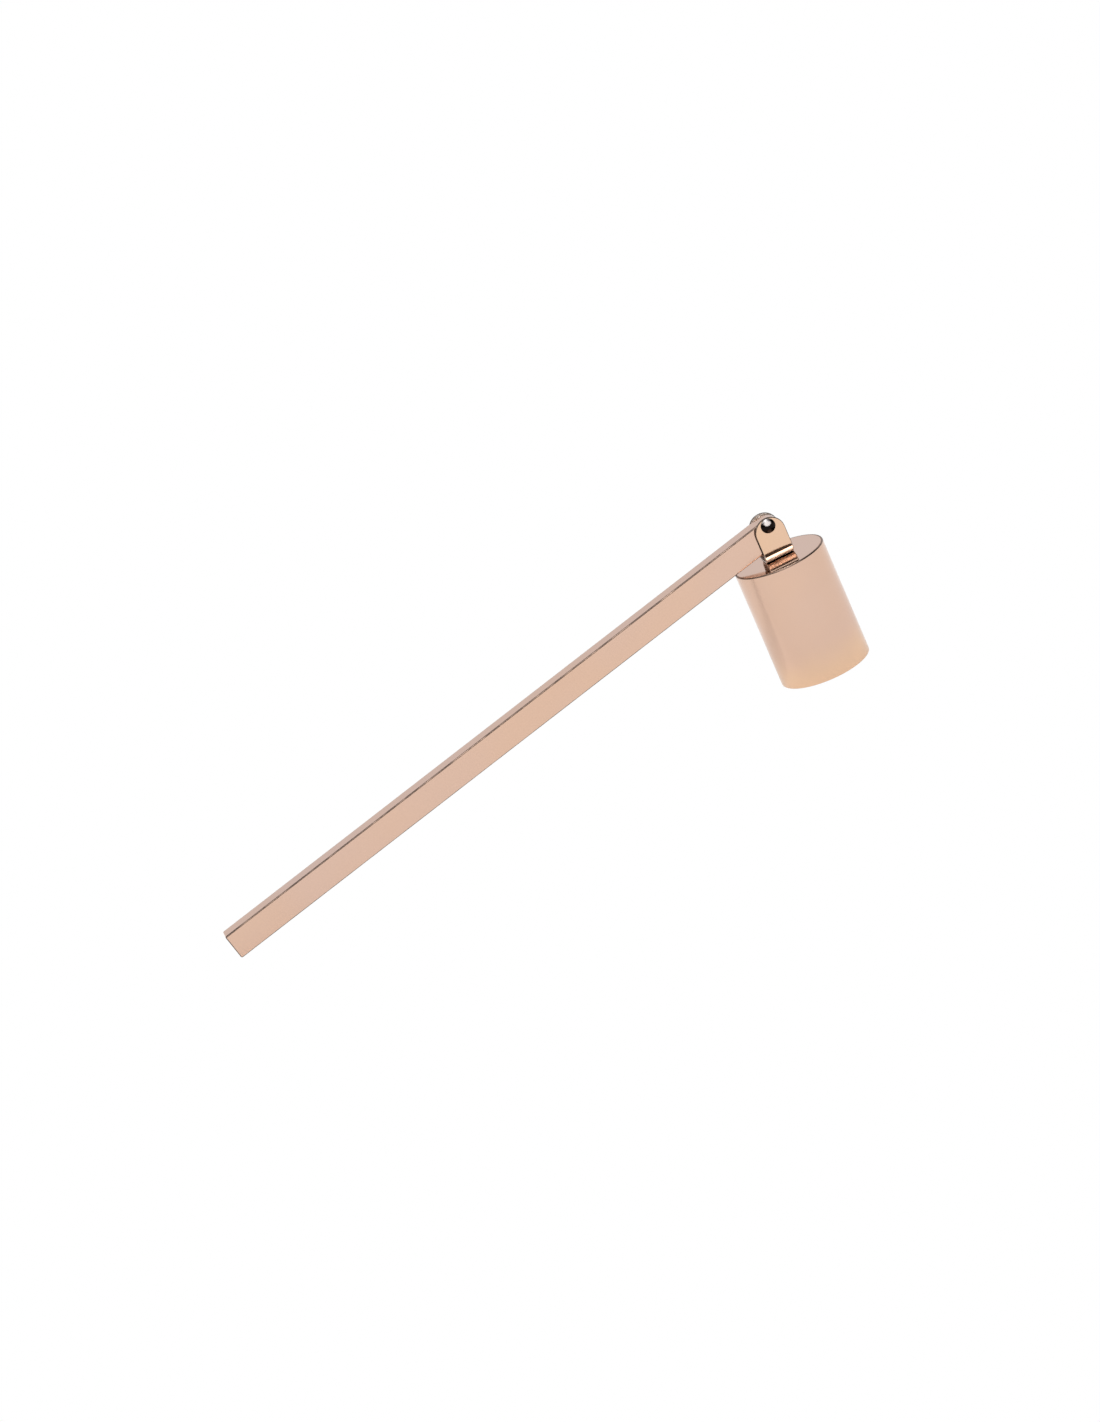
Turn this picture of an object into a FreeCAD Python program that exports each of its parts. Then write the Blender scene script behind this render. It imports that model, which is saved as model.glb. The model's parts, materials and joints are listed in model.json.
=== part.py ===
import FreeCAD, Part
import Sketcher
import math
import os

# Candle snuffer: a straight-sided cup swings on a cross pin in a U-shaped bracket, at the eye end of
# a long flat handle. All sizes are in millimetres.
#
# Frame: the origin is the centre of the cup's open mouth, in the plane of its rim. +Z runs up the
# cup's axis, the handle leaves towards -X, and the hinge pin lies along Y with its domed head at -Y.
# At rest the cup stands on its rim and the free end of the handle touches the same plane, z = 0.

DRIVING_SIZES = [
    # cup: a turned wall with an inner shoulder, and a flat top let into it
    ("cup_radius", 12.5),
    ("cup_height", 33.2),
    ("wall_thickness", 1.0),
    ("seat_radius", 12.1),
    ("shoulder_radius", 10.8),
    ("shoulder_length", 1.7),
    ("top_thickness", 1.0),
    ("top_seam", 0.05),
    ("top_edge_break", 0.12),
    ("rim_round", 0.25),
    ("cup_edge_round", 0.33),
    # U bracket: one strap bent twice, with round-topped ears
    ("strap_width", 8.3),
    ("strap_thickness", 0.6),
    ("bracket_depth", 7.0),
    ("bend_radius", 2.5),
    ("ear_height", 11.9),
    ("ear_edge_round", 0.28),
    ("pivot_height", 9.7),
    # handle: a solid rectangular bar, its eye drilled near the top edge
    ("handle_reach", 178.0),
    ("handle_height", 7.35),
    ("handle_thickness", 5.2),
    ("eye_rise", 2.1),
    ("handle_edge_round", 0.4),
    # hinge: domed pin, cap nut and two thin washers
    ("pin_radius", 0.85),
    ("pin_play", 0.05),
    ("dome_radius", 2.0),
    ("dome_height", 1.0),
    ("cap_height", 1.3),
    ("pin_end", 0.7),
    ("washer_radius", 1.5),
    ("washer_thickness", 0.25),
    # rivet that holds the bracket on the cup, with a backing washer inside
    ("rivet_radius", 0.9),
    ("rivet_head_radius", 1.4),
    ("rivet_head_height", 0.6),
    ("rivet_tail_height", 0.7),
    ("rivet_button_round", 0.42),
    ("backing_radius", 2.6),
    ("backing_thickness", 0.4),
]

doc = FreeCAD.newDocument("candle_snuffer")
sheet = doc.addObject("Spreadsheet::Sheet", "Sizes")
for row, (alias, value) in enumerate(DRIVING_SIZES, start=1):
    sheet.set("A%d" % row, alias)
    sheet.set("B%d" % row, str(value))
    sheet.setAlias("B%d" % row, alias)
doc.recompute()

# expressions that several pieces share, all worked out from the sheet
PIVOT_Z = "(Sizes.cup_height + Sizes.pivot_height)"
TOP_UNDERSIDE = "(Sizes.cup_height - Sizes.top_thickness)"
HALF_DEPTH = "(Sizes.bracket_depth / 2)"
EAR_CENTRE = "(Sizes.ear_height - Sizes.strap_width / 2)"
BAR_BOTTOM = "(-Sizes.eye_rise - Sizes.handle_height / 2)"
BAR_TOP = "(-Sizes.eye_rise + Sizes.handle_height / 2)"

# The handle tilts about the pin until the rounded lower corner of its free end meets z = 0.
CORNER_REACH = "(Sizes.handle_reach - Sizes.handle_edge_round)"
CORNER_DROP = "(Sizes.eye_rise + Sizes.handle_height / 2 - Sizes.handle_edge_round)"
REST_TILT = "asin((%s - Sizes.handle_edge_round) / sqrt(%s ^ 2 + %s ^ 2)) - atan(%s / %s)" % (
    PIVOT_Z, CORNER_REACH, CORNER_DROP, CORNER_DROP, CORNER_REACH)

SUB_PARTS = []

# how close two sizes (mm) or two directions (cosine) must be to count as the same
SAME_SIZE = 1e-4
SAME_DIRECTION = 1e-6


def number(expression):
    """The present value of a sheet expression, in millimetres or degrees."""
    value = sheet.evalExpression(expression)
    return float(getattr(value, "Value", value))


def new_body(label, height=None):
    """A sub-part. Its own frame is moved up the cup's axis by the given expression."""
    body = doc.addObject("PartDesign::Body", label)
    body.Label = label
    if height is not None:
        body.setExpression("Placement.Base.z", height)
    SUB_PARTS.append(body)
    return body


def new_sketch(body, name, plane):
    """A sketch on one of the body's own origin planes."""
    sketch = body.newObject("Sketcher::SketchObject", name)
    origin_plane = [item for item in body.Origin.OriginFeatures if item.Role == plane][0]
    sketch.AttachmentSupport = (origin_plane, [""])
    sketch.MapMode = "FlatFace"
    return sketch


def pin_point(sketch, curve, point, across, up):
    """Hold one point of a curve at a place given by two sheet expressions."""
    for kind, expression, axis in (("DistanceX", across, -2), ("DistanceY", up, -1)):
        if expression == "0":
            sketch.addConstraint(Sketcher.Constraint("PointOnObject", curve, point, axis))
            continue
        held = sketch.addConstraint(
            Sketcher.Constraint(kind, -1, 1, curve, point, number(expression)))
        sketch.setExpression("Constraints[%d]" % held, expression)


def add_outline(sketch, corners):
    """A closed outline of straight lines through corners given as pairs of expressions."""
    places = [FreeCAD.Vector(number(across), number(up), 0) for across, up in corners]
    first = sketch.GeometryCount
    for index, place in enumerate(places):
        following = places[(index + 1) % len(places)]
        sketch.addGeometry(Part.LineSegment(place, following), False)
    for index, (across, up) in enumerate(corners):
        following = (index + 1) % len(corners)
        sketch.addConstraint(
            Sketcher.Constraint("Coincident", first + index, 2, first + following, 1))
        pin_point(sketch, first + index, 1, across, up)


def add_rectangle(sketch, left, right, low, high):
    """A rectangle between two pairs of expressions."""
    add_outline(sketch, [(left, low), (right, low), (right, high), (left, high)])


def add_circle(sketch, across, up, radius):
    """A circle whose centre and radius are expressions."""
    centre = FreeCAD.Vector(number(across), number(up), 0)
    curve = sketch.addGeometry(
        Part.Circle(centre, FreeCAD.Vector(0, 0, 1), number(radius)), False)
    pin_point(sketch, curve, 3, across, up)
    held = sketch.addConstraint(Sketcher.Constraint("Radius", curve, number(radius)))
    sketch.setExpression("Constraints[%d]" % held, radius)


def add_dome(sketch, base, radius, height, side):
    """Half of a dome's outline: base line, arc and axis. The dome stands on across = base and
    bulges towards side, +1 or -1, and its axis is the sketch's horizontal axis."""
    foot = number(base)
    wide = number(radius)
    tall = number(height)
    sphere = (wide ** 2 + tall ** 2) / (2 * tall)
    centre = FreeCAD.Vector(foot + side * (tall - sphere), 0, 0)
    edge_angle = math.atan2(wide, side * (sphere - tall))
    tip_angle = 0.0 if side > 0 else math.pi
    start, end = sorted((edge_angle, tip_angle))
    circle = Part.Circle(centre, FreeCAD.Vector(0, 0, 1), sphere)
    tip = FreeCAD.Vector(foot + side * tall, 0, 0)
    corner = FreeCAD.Vector(foot, wide, 0)
    heel = FreeCAD.Vector(foot, 0, 0)
    arc = sketch.addGeometry(Part.ArcOfCircle(circle, start, end), False)
    base_line = sketch.addGeometry(Part.LineSegment(heel, corner), False)
    axis_line = sketch.addGeometry(Part.LineSegment(tip, heel), False)
    arc_tip, arc_corner = (1, 2) if side > 0 else (2, 1)
    sketch.addConstraint(Sketcher.Constraint("Coincident", base_line, 2, arc, arc_corner))
    sketch.addConstraint(Sketcher.Constraint("Coincident", axis_line, 1, arc, arc_tip))
    sketch.addConstraint(Sketcher.Constraint("Coincident", base_line, 1, axis_line, 2))
    sketch.addConstraint(Sketcher.Constraint("PointOnObject", arc, 3, -1))
    sign = "+" if side > 0 else "-"
    pin_point(sketch, base_line, 1, base, "0")
    pin_point(sketch, base_line, 2, base, radius)
    held = sketch.addConstraint(Sketcher.Constraint("DistanceX", -1, 1, axis_line, 1, tip.x))
    sketch.setExpression("Constraints[%d]" % held, "%s %s %s" % (base, sign, height))


def revolve(body, name, sketch, axis, cut=False):
    """Turn a sketch right round one of its own axes."""
    kind = "PartDesign::Groove" if cut else "PartDesign::Revolution"
    feature = body.newObject(kind, name)
    feature.Profile = sketch
    feature.ReferenceAxis = (sketch, [axis])
    feature.Angle = 360
    doc.recompute()
    return feature


def pad(body, name, sketch, length):
    """Add a prism of the sketch, half its length each side of the sketch's plane."""
    feature = body.newObject("PartDesign::Pad", name)
    feature.Profile = sketch
    feature.SideType = "Symmetric"
    feature.setExpression("Length", length)
    doc.recompute()
    return feature


def cut_through(body, name, sketch):
    """Cut a sketch through everything, both ways, and make sure that it removed something."""
    before = body.Shape.Volume
    feature = body.newObject("PartDesign::Pocket", name)
    feature.Profile = sketch
    feature.Type = "ThroughAll"
    feature.SideType = "Symmetric"
    doc.recompute()
    if body.Shape.Volume >= before:
        raise RuntimeError("%s of %s removes nothing" % (name, body.Label))
    return feature


def dress(body, name, kind, size, chosen):
    """Round ("Fillet") or bevel ("Chamfer") the edges of the body's tip that chosen() accepts."""
    tip = body.Tip
    edges = ["Edge%d" % (index + 1) for index, edge in enumerate(tip.Shape.Edges) if chosen(edge)]
    if not edges:
        raise RuntimeError("%s of %s finds no edge" % (name, body.Label))
    feature = body.newObject("PartDesign::" + kind, name)
    feature.Base = (tip, edges)
    feature.setExpression("Radius" if kind == "Fillet" else "Size", size)
    doc.recompute()
    return feature


def is_circle_at(edge, radius, height):
    """True for a full circle round Z with this radius, at this height."""
    curve = edge.Curve
    if not isinstance(curve, Part.Circle):
        return False
    return (abs(curve.Radius - number(radius)) < SAME_SIZE
            and abs(curve.Center.z - number(height)) < SAME_SIZE)


def middle(edge):
    """The point half way along an edge."""
    return edge.valueAt((edge.FirstParameter + edge.LastParameter) / 2)


def is_along_x(edge):
    """True for a straight edge parallel to X."""
    if not isinstance(edge.Curve, Part.Line):
        return False
    return abs(abs(edge.tangentAt(edge.FirstParameter).x) - 1) < SAME_DIRECTION


def make_cup_wall():
    """The open-ended wall of the cup: a plain bore below, a shoulder, and the seat for the top."""
    body = new_body("cup_wall")
    sketch = new_sketch(body, "WallSection", "XZ_Plane")
    bore = "Sizes.cup_radius - Sizes.wall_thickness"
    shoulder_low = "%s - Sizes.shoulder_length" % TOP_UNDERSIDE
    add_outline(sketch, [
        (bore, "0"),
        ("Sizes.cup_radius", "0"),
        ("Sizes.cup_radius", "Sizes.cup_height"),
        ("Sizes.seat_radius", "Sizes.cup_height"),
        ("Sizes.seat_radius", TOP_UNDERSIDE),
        ("Sizes.shoulder_radius", TOP_UNDERSIDE),
        ("Sizes.shoulder_radius", shoulder_low),
        (bore, shoulder_low),
    ])
    revolve(body, "WallTurned", sketch, "V_Axis")
    dress(body, "RimRound", "Fillet", "Sizes.rim_round",
          lambda edge: is_circle_at(edge, "Sizes.cup_radius", "0") or is_circle_at(edge, bore, "0"))
    dress(body, "TopEdgeRound", "Fillet", "Sizes.cup_edge_round",
          lambda edge: is_circle_at(edge, "Sizes.cup_radius", "Sizes.cup_height"))


def make_cup_top():
    """The flat disc that closes the cup, drilled for the rivet."""
    body = new_body("cup_top", TOP_UNDERSIDE)
    sketch = new_sketch(body, "DiscSection", "XZ_Plane")
    rim = "Sizes.seat_radius - Sizes.top_seam"
    add_rectangle(sketch, "Sizes.rivet_radius", rim, "0", "Sizes.top_thickness")
    revolve(body, "DiscTurned", sketch, "V_Axis")
    dress(body, "EdgeBreak", "Chamfer", "Sizes.top_edge_break",
          lambda edge: is_circle_at(edge, rim, "Sizes.top_thickness"))


def make_u_bracket():
    """The bent strap: two round-topped ears, a rounded bend each side, and holes for pin and rivet."""
    body = new_body("u_bracket", "Sizes.cup_height")
    half_width = "Sizes.strap_width / 2"
    slab = new_sketch(body, "EarSides", "XZ_Plane")
    add_rectangle(slab, "-" + half_width, half_width, "0", EAR_CENTRE)
    pad(body, "Slab", slab, "Sizes.bracket_depth")
    round_top = new_sketch(body, "EarTops", "XZ_Plane")
    add_circle(round_top, "0", EAR_CENTRE, half_width)
    pad(body, "RoundTops", round_top, "Sizes.bracket_depth")
    inner_half = "%s - Sizes.strap_thickness" % HALF_DEPTH
    channel = new_sketch(body, "Channel", "YZ_Plane")
    add_rectangle(channel, "-(%s)" % inner_half, inner_half,
                  "Sizes.strap_thickness", "2 * Sizes.ear_height")
    cut_through(body, "ChannelCut", channel)
    dress(body, "InnerBends", "Fillet", "Sizes.bend_radius - Sizes.strap_thickness",
          lambda edge: is_along_x(edge) and abs(middle(edge).y) < number(inner_half) + SAME_SIZE
          and abs(middle(edge).z - number("Sizes.strap_thickness")) < SAME_SIZE)
    dress(body, "OuterBends", "Fillet", "Sizes.bend_radius",
          lambda edge: is_along_x(edge) and abs(middle(edge).z) < SAME_SIZE)
    pin_hole = new_sketch(body, "PinHoles", "XZ_Plane")
    add_circle(pin_hole, "0", "Sizes.pivot_height", "Sizes.pin_radius")
    cut_through(body, "PinHolesCut", pin_hole)
    rivet_hole = new_sketch(body, "RivetHole", "XY_Plane")
    add_circle(rivet_hole, "0", "0", "Sizes.rivet_radius")
    cut_through(body, "RivetHoleCut", rivet_hole)
    outer_face = number(HALF_DEPTH)
    ear_radius = number(half_width)
    dress(body, "EarEdges", "Fillet", "Sizes.ear_edge_round",
          lambda edge: isinstance(edge.Curve, Part.Circle)
          and abs(edge.Curve.Radius - ear_radius) < SAME_SIZE
          and abs(abs(middle(edge).y) - outer_face) < SAME_SIZE)


def make_handle():
    """The solid bar, in a frame with the pin at its origin, tilted to its place at rest."""
    body = new_body("handle_bar", PIVOT_Z)
    body.Placement.Rotation = FreeCAD.Rotation(FreeCAD.Vector(0, -1, 0), number(REST_TILT))
    body.setExpression("Placement.Rotation.Angle", REST_TILT)
    bar = new_sketch(body, "BarSide", "XZ_Plane")
    add_rectangle(bar, "-Sizes.handle_reach", "0", BAR_BOTTOM, BAR_TOP)
    pad(body, "Bar", bar, "Sizes.handle_thickness")
    eye = new_sketch(body, "EyeSide", "XZ_Plane")
    add_circle(eye, "0", "-Sizes.eye_rise", "Sizes.handle_height / 2")
    pad(body, "EyeEnd", eye, "Sizes.handle_thickness")
    dress(body, "SoftEdges", "Fillet", "Sizes.handle_edge_round", lambda edge: True)
    hole = new_sketch(body, "EyeHole", "XZ_Plane")
    add_circle(hole, "0", "0", "Sizes.pin_radius + Sizes.pin_play")
    cut_through(body, "EyeHoleCut", hole)


def make_hinge_pin():
    """The cross pin: a domed head outside the front ear and a shank right through."""
    body = new_body("hinge_pin", PIVOT_Z)
    shank = new_sketch(body, "ShankSection", "YZ_Plane")
    add_rectangle(shank, "-" + HALF_DEPTH, "%s + Sizes.pin_end" % HALF_DEPTH, "0", "Sizes.pin_radius")
    revolve(body, "Shank", shank, "H_Axis")
    head = new_sketch(body, "HeadSection", "YZ_Plane")
    add_dome(head, "-" + HALF_DEPTH, "Sizes.dome_radius", "Sizes.dome_height", -1)
    revolve(body, "DomedHead", head, "H_Axis")


def make_cap_nut():
    """The domed nut on the far end of the pin, with a blind hole for the shank."""
    body = new_body("cap_nut", PIVOT_Z)
    dome = new_sketch(body, "CapSection", "YZ_Plane")
    add_dome(dome, HALF_DEPTH, "Sizes.dome_radius", "Sizes.cap_height", 1)
    revolve(body, "Cap", dome, "H_Axis")
    solid = body.Shape.Volume
    hole = new_sketch(body, "BlindHole", "YZ_Plane")
    add_rectangle(hole, HALF_DEPTH, "%s + Sizes.pin_end" % HALF_DEPTH, "0", "Sizes.pin_radius")
    revolve(body, "BlindHoleCut", hole, "H_Axis", cut=True)
    if body.Shape.Volume >= solid:
        raise RuntimeError("the cap nut's hole removes nothing")


def make_hinge_washer(label, side):
    """A thin washer against the inside of one ear; the handle's eye runs beside it."""
    body = new_body(label, PIVOT_Z)
    sketch = new_sketch(body, "WasherSection", "YZ_Plane")
    ear_inside = "(%s - Sizes.strap_thickness)" % HALF_DEPTH
    near = "%s - Sizes.washer_thickness" % ear_inside
    ends = (near, ear_inside) if side > 0 else ("-" + ear_inside, "-(%s)" % near)
    add_rectangle(sketch, ends[0], ends[1], "Sizes.pin_radius", "Sizes.washer_radius")
    revolve(body, "Washer", sketch, "H_Axis")


def make_cup_rivet():
    """The rivet down through bracket and cup top: shank, button head above, closed tail below."""
    body = new_body("cup_rivet", "Sizes.cup_height")
    sketch = new_sketch(body, "RivetSection", "XZ_Plane")
    head_low = "Sizes.strap_thickness"
    head_high = "Sizes.strap_thickness + Sizes.rivet_head_height"
    tail_high = "-(Sizes.top_thickness + Sizes.backing_thickness)"
    tail_low = "%s - Sizes.rivet_tail_height" % tail_high
    add_outline(sketch, [
        ("0", tail_low),
        ("Sizes.rivet_head_radius", tail_low),
        ("Sizes.rivet_head_radius", tail_high),
        ("Sizes.rivet_radius", tail_high),
        ("Sizes.rivet_radius", head_low),
        ("Sizes.rivet_head_radius", head_low),
        ("Sizes.rivet_head_radius", head_high),
        ("0", head_high),
    ])
    revolve(body, "RivetTurned", sketch, "V_Axis")
    dress(body, "ButtonRound", "Fillet", "Sizes.rivet_button_round",
          lambda edge: is_circle_at(edge, "Sizes.rivet_head_radius", head_high)
          or is_circle_at(edge, "Sizes.rivet_head_radius", tail_low))


def make_backing_washer():
    """The plain washer under the rivet's tail, inside the cup."""
    body = new_body("backing_washer", "%s - Sizes.backing_thickness" % TOP_UNDERSIDE)
    sketch = new_sketch(body, "BackingSection", "XZ_Plane")
    add_rectangle(sketch, "Sizes.rivet_radius", "Sizes.backing_radius", "0", "Sizes.backing_thickness")
    revolve(body, "Backing", sketch, "V_Axis")


def check_and_write():
    """Stop on any failed feature or bad solid, then write one STEP file for each sub-part."""
    doc.recompute()
    for item in doc.Objects:
        if "Invalid" in item.State or "Error" in item.State:
            raise RuntimeError("%s failed: %s" % (item.Label, item.State))
    for body in SUB_PARTS:
        if body.Shape.isNull() or not body.Shape.isValid() or len(body.Shape.Solids) != 1:
            raise RuntimeError("%s is not one valid solid" % body.Label)
    os.makedirs("parts", exist_ok=True)
    for body in SUB_PARTS:
        body.Shape.exportStep("parts/%s.step" % body.Label)
        box = body.Shape.BoundBox
        print("%-15s %8.1f mm3  x %7.2f %7.2f  y %6.2f %6.2f  z %6.2f %6.2f" % (
            body.Label, body.Shape.Volume, box.XMin, box.XMax, box.YMin, box.YMax, box.ZMin, box.ZMax))


make_handle()
make_u_bracket()
make_hinge_pin()
make_cap_nut()
make_hinge_washer("washer_front", -1)
make_hinge_washer("washer_rear", 1)
make_cup_wall()
make_cup_top()
make_cup_rivet()
make_backing_washer()
check_and_write()
print("rest tilt of the handle %.3f degrees, pivot at z = %.2f mm" % (number(REST_TILT), number(PIVOT_Z)))
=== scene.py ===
# %% [markdown]
# # A candle snuffer, piece by piece
# A snuffer puts a candle out without smoke or splashed wax: a small cup is lowered over the flame.
# The cup hangs from a U-shaped bracket and swings on a cross pin at the end of a long flat handle.
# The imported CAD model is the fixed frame. Everything below is built round it in metres, so each
# piece goes where the CAD says and nothing has to be fitted by eye.

# %% Load the frame
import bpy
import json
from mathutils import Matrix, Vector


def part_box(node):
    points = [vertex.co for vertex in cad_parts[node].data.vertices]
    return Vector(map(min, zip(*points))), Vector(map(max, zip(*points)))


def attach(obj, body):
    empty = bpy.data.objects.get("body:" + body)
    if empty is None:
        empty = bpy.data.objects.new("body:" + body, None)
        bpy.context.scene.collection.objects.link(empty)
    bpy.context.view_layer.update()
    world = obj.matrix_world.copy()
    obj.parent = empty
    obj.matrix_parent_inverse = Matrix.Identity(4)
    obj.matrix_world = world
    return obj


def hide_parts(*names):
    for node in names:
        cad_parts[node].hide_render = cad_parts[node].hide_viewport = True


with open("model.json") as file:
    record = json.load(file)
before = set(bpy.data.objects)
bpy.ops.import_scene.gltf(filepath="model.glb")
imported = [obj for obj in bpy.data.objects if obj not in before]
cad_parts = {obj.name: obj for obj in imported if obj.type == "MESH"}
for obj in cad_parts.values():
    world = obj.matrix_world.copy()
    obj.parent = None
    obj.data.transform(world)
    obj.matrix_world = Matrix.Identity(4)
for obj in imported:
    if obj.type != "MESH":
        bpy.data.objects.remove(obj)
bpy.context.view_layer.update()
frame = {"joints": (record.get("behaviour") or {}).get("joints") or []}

# %% Modules and units
import json
import math

import bmesh
import bpy
from mathutils import Matrix, Vector

MM = 0.001

# %% [markdown]
# ## Reading the sizes from the frame
# The boxes of the CAD nodes give most sizes: the cup's radius and height, the strap's width, the
# place of the pin. What a box can't tell, such as the thickness of a wall, is a named value in
# millimetres. Working from boxes means that a change of the design carries through to the looks.

# %% Sizes of the cup, the bracket and the pin
wall_low, wall_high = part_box("cup_wall")
top_low, top_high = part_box("cup_top")
strap_low, strap_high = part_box("u_bracket")
bar_low, bar_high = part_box("handle_bar")
head_low, head_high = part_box("hinge_pin")
nut_low, nut_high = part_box("cap_nut")
front_washer_low, front_washer_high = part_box("washer_front")
backing_low, backing_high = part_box("backing_washer")
rivet_low, rivet_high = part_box("cup_rivet")

PIVOT = Vector(frame["joints"][0]["pos_m"])
CUP_RADIUS = wall_high.x
CUP_HEIGHT = wall_high.z
TOP_UNDERSIDE = top_low.z
print("cup: %.1f mm across, %.1f mm tall" % (2 * CUP_RADIUS / MM, CUP_HEIGHT / MM))
print("pin axis %.1f mm above the table" % (PIVOT.z / MM))

# %% [markdown]
# ## Two trees that lay a grid over a row of points
# The cup's wall, its top, the pin, the nut, the rivet and the washers are all made on a lathe: one
# section is carried round an axis. A Screw modifier could do it, but here a Geometry Nodes tree
# does, because the rule is short and its inputs can be named. The section is a row of points. A
# grid has one row of vertices for each of those points and one column for each step of the turn,
# and every vertex takes the place of its section point, rotated by its share of the turn. Merging
# the first and last columns closes the piece. The bracket's strap uses a grid over a row of points
# too, so the start and the end of such a tree are written once.

# %% Helpers for node trees
NODE_ACROSS, NODE_DOWN = 220, -180      # the spacing of nodes in the editor


def add_node(tree, kind, at, **settings):
    """Add a node at a grid place, set its properties, and return it."""
    node = tree.nodes.new(kind)
    node.location = (at[0] * NODE_ACROSS, at[1] * NODE_DOWN)
    for name, value in settings.items():
        setattr(node, name, value)
    return node


def maths(tree, operation, first, second, at):
    """A Math node whose inputs are sockets or plain numbers."""
    node = add_node(tree, "ShaderNodeMath", at, operation=operation)
    for socket, source in zip(node.inputs, (first, second)):
        if isinstance(source, (int, float)):
            socket.default_value = source
        elif source is not None:
            tree.links.new(source, socket)
    return node.outputs[0]


# %% How both trees start and end
SAME_POINT = 0.0005 * MM     # points closer than this are one point


def start_tree(name, row_name, steps_name, steps, result_name):
    """Lay a grid over a row of points, one grid row for each point.

    Returns the tree, its inputs, the grid, and for each vertex the point that it belongs to and
    its share, from 0 to 1, of the way along its grid row."""
    tree = bpy.data.node_groups.new(name, "GeometryNodeTree")
    add_socket = tree.interface.new_socket
    add_socket(row_name, in_out="INPUT", socket_type="NodeSocketGeometry")
    add_socket(steps_name, in_out="INPUT", socket_type="NodeSocketInt").default_value = steps
    add_socket("Finish", in_out="INPUT", socket_type="NodeSocketMaterial")
    add_socket(result_name, in_out="OUTPUT", socket_type="NodeSocketGeometry")
    link = tree.links.new
    given = add_node(tree, "NodeGroupInput", (0, 0))
    size = add_node(tree, "GeometryNodeAttributeDomainSize", (1, -1), component="MESH")
    link(given.outputs[row_name], size.inputs[0])
    columns = maths(tree, "ADD", given.outputs[steps_name], 1.0, (1, 1))
    grid = add_node(tree, "GeometryNodeMeshGrid", (2, 0))
    link(size.outputs["Point Count"], grid.inputs["Vertices X"])
    link(columns, grid.inputs["Vertices Y"])
    index = add_node(tree, "GeometryNodeInputIndex", (1, 2)).outputs[0]
    row = maths(tree, "FLOOR", maths(tree, "DIVIDE", index, columns, (2, 2)), None, (3, 2))
    column = maths(tree, "MODULO", index, columns, (2, 3))
    share = maths(tree, "DIVIDE", column, given.outputs[steps_name], (3, 3))
    place = add_node(tree, "GeometryNodeInputPosition", (3, -1))
    sample = add_node(tree, "GeometryNodeSampleIndex", (4, 0),
                      data_type="FLOAT_VECTOR", domain="POINT")
    link(given.outputs[row_name], sample.inputs["Geometry"])
    link(place.outputs[0], sample.inputs["Value"])
    link(row, sample.inputs["Index"])
    return tree, given, grid, sample.outputs["Value"], share


def finish_tree(tree, given, grid, places, column):
    """Move the grid's vertices to their places, merge doubles, and set the material."""
    link = tree.links.new
    move = add_node(tree, "GeometryNodeSetPosition", (column, 0))
    link(grid.outputs["Mesh"], move.inputs["Geometry"])
    link(places, move.inputs["Position"])
    merge = add_node(tree, "GeometryNodeMergeByDistance", (column + 1, 0))
    merge.inputs["Distance"].default_value = SAME_POINT
    link(move.outputs[0], merge.inputs["Geometry"])
    real = add_node(tree, "GeometryNodeRealizeInstances", (column + 2, 0))
    link(merge.outputs[0], real.inputs[0])
    coat = add_node(tree, "GeometryNodeSetMaterial", (column + 3, 0))
    link(real.outputs[0], coat.inputs["Geometry"])
    link(given.outputs["Finish"], coat.inputs["Material"])
    out = add_node(tree, "NodeGroupOutput", (column + 4, 0))
    link(coat.outputs[0], out.inputs[0])
    return tree


# %% The turning tree
FULL_TURN = 2 * math.pi


def make_turning_tree():
    """Section points in the XZ plane, turned round Z."""
    tree, given, grid, point, share = start_tree(
        "turned_piece", "Section", "Steps round", 96, "Piece")
    angle = maths(tree, "MULTIPLY", share, FULL_TURN, (4, 3))
    spin = add_node(tree, "ShaderNodeVectorRotate", (5, 0), rotation_type="Z_AXIS")
    tree.links.new(point, spin.inputs["Vector"])
    tree.links.new(angle, spin.inputs["Angle"])
    return finish_tree(tree, given, grid, spin.outputs[0], 6)


turning_tree = make_turning_tree()
print("turning tree:", len(turning_tree.nodes), "nodes")

# %% [markdown]
# ## From a section to a finished mesh
# Real edges are never knife sharp. Each corner of a section has its own small radius, so the edge
# catches a thin line of light or dark, which is most of what tells the eye that metal is metal.
# The helpers below round a section's corners, run a tree on it and return a plain mesh object.

# %% Rounding the corners of a section
ARC_STEPS = 5


def rounded(corners):
    """Section corners (across, up, radius) as points, each corner replaced by an arc."""
    points = []
    count = len(corners)
    for index, (across, up, radius) in enumerate(corners):
        here = Vector((across, up))
        if radius == 0:
            points.append(here)
            continue
        before = (Vector(corners[index - 1][:2]) - here).normalized()
        after = (Vector(corners[(index + 1) % count][:2]) - here).normalized()
        half_angle = before.angle(after) / 2
        start = here + before * (radius / math.tan(half_angle))
        centre = here + (before + after).normalized() * (radius / math.sin(half_angle))
        first = start - centre
        sweep = math.pi - 2 * half_angle
        side = 1 if before.x * after.y - before.y * after.x < 0 else -1
        for step in range(ARC_STEPS + 1):
            spin = Matrix.Rotation(side * sweep * step / ARC_STEPS, 2)
            points.append(centre + spin @ first)
    return points


# %% Running a tree and taking the plain mesh
def add_object(name, data):
    """An object in the scene for a mesh, a light or a camera."""
    item = bpy.data.objects.new(name, data)
    bpy.context.scene.collection.objects.link(item)
    return item


def points_object(name, points):
    """A mesh object that holds nothing but a row of points."""
    mesh = bpy.data.meshes.new(name)
    mesh.from_pydata([tuple(point) for point in points], [], [])
    return add_object(name, mesh)


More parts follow.
